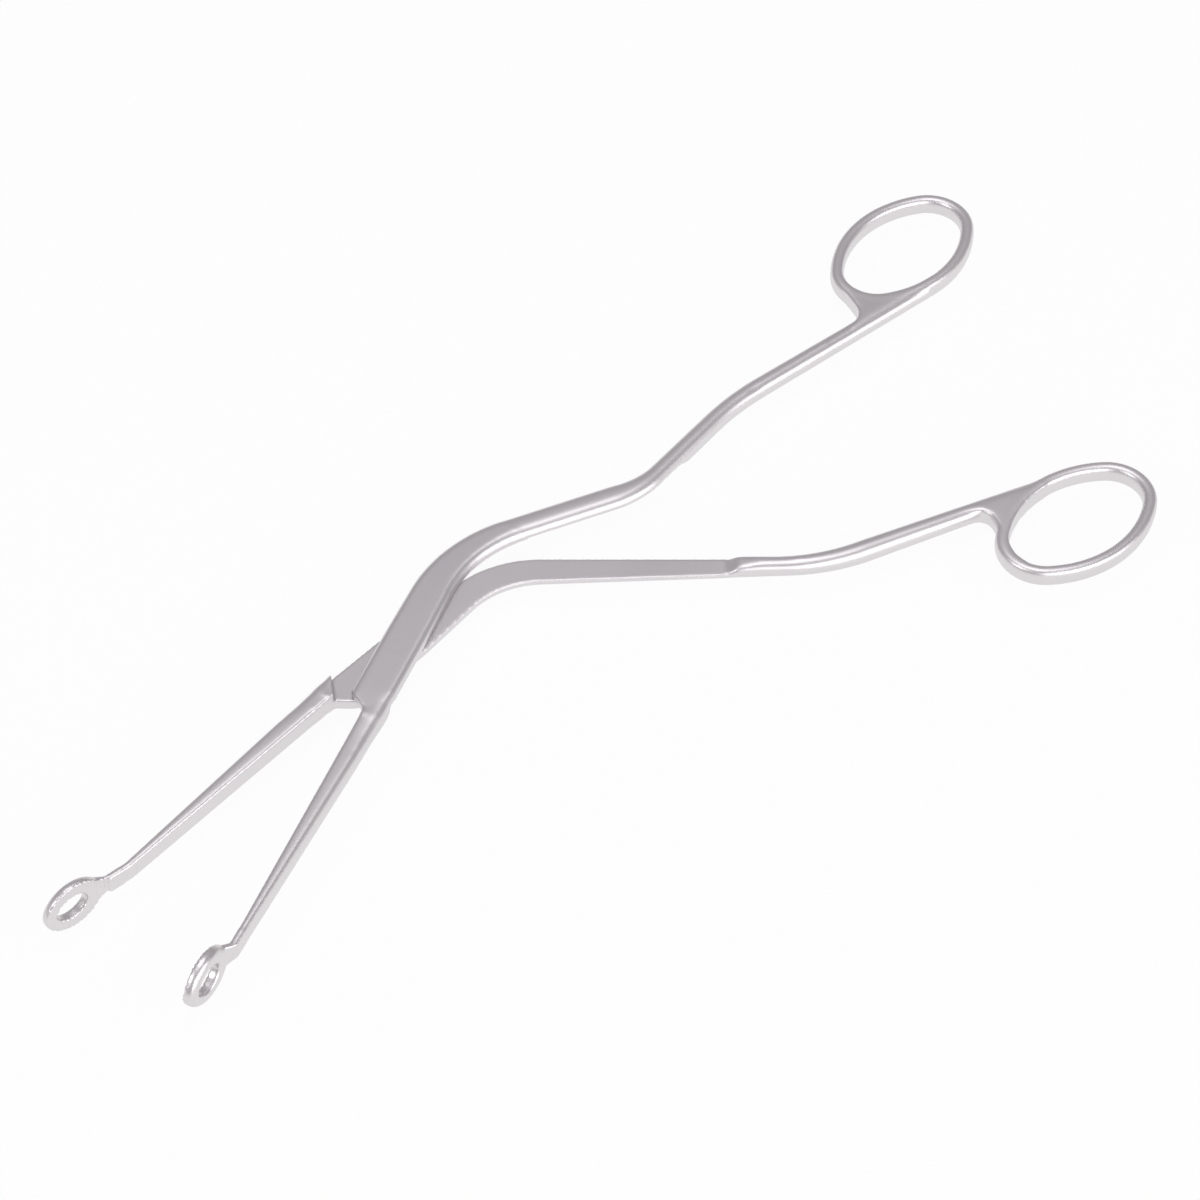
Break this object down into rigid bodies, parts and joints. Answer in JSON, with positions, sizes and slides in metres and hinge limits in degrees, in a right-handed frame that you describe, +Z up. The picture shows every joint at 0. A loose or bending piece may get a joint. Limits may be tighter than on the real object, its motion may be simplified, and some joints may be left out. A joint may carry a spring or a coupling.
{
  "type": "magill forceps",
  "caption": "Angled laryngeal forceps: two crossed steel arms on a pivot screw, grooved oval loops at the jaw tips, offset shanks and oval finger rings.",
  "frame": {"origin": "on the pivot axis, level with the flat underside of the joint", "axes": "+Z up along the pivot axis, -X along the middle line between the jaws towards their tips, +Y on the lower arm's jaw side"},
  "size_m": [0.2513, 0.1255, 0.0104],
  "materials": {
    "forged_steel": "satin stainless steel",
    "screw_steel": "satin stainless steel"
  },
  "bodies": {
    "upper": {"upper_arm": "forged_steel", "pivot_screw": "screw_steel"},
    "lower": {"lower_arm": "forged_steel"}
  },
  "joints": [
    {"name": "lap_hinge", "type": "hinge", "parent": "upper", "child": "lower", "pos_m": [0, 0, 0.0023], "axis": [0, 0, 1], "range_deg": [-20, 19.4]}
  ]
}
